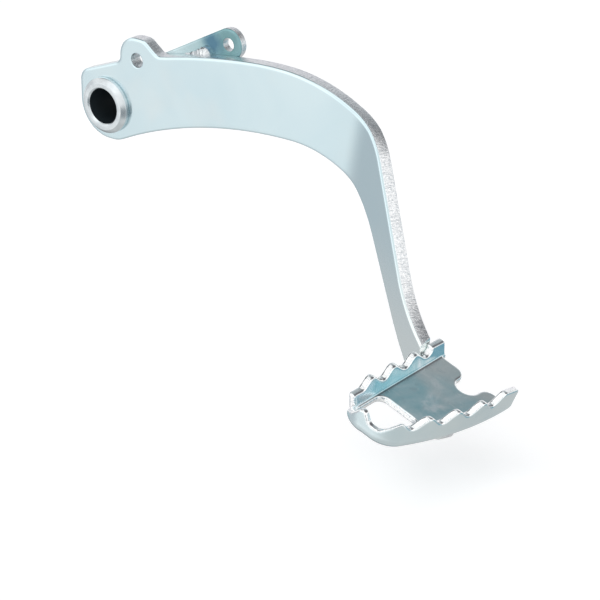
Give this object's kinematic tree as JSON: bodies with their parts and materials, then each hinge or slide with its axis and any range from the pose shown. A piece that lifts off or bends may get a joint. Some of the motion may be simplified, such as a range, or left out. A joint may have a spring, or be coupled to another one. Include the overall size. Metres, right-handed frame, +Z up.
{
  "type": "rear brake pedal",
  "caption": "Curved plate brake pedal with a pivot sleeve, a spring lug, a push rod lever and a folded toe pad with toothed edges and a mud window.",
  "frame": {"origin": "centre of the pivot bore, at the middle of the sleeve", "axes": "+X forward along the motorbike, +Y inboard along the pivot axis, +Z up with the pedal at rest; the side with the sleeve's flange faces -Y"},
  "size_m": [0.2607, 0.117, 0.1461],
  "materials": {
    "zinc_plate": "bright zinc plated stamped steel, satin",
    "turned_steel": "bright zinc plated, turned",
    "zinc_sheet": "bright zinc plated folded sheet, satin",
    "weld": "zinc plated weld bead"
  },
  "bodies": {
    "root": {"pedal_arm": "zinc_plate", "pivot_sleeve": "turned_steel", "push_rod_lever": "zinc_plate", "toe_pad": "zinc_sheet", "weld_sleeve": "weld", "weld_lever_top": "weld", "weld_lever_low": "weld", "weld_pad_outer": "weld", "weld_pad_inner": "weld"}
  },
  "joints": []
}
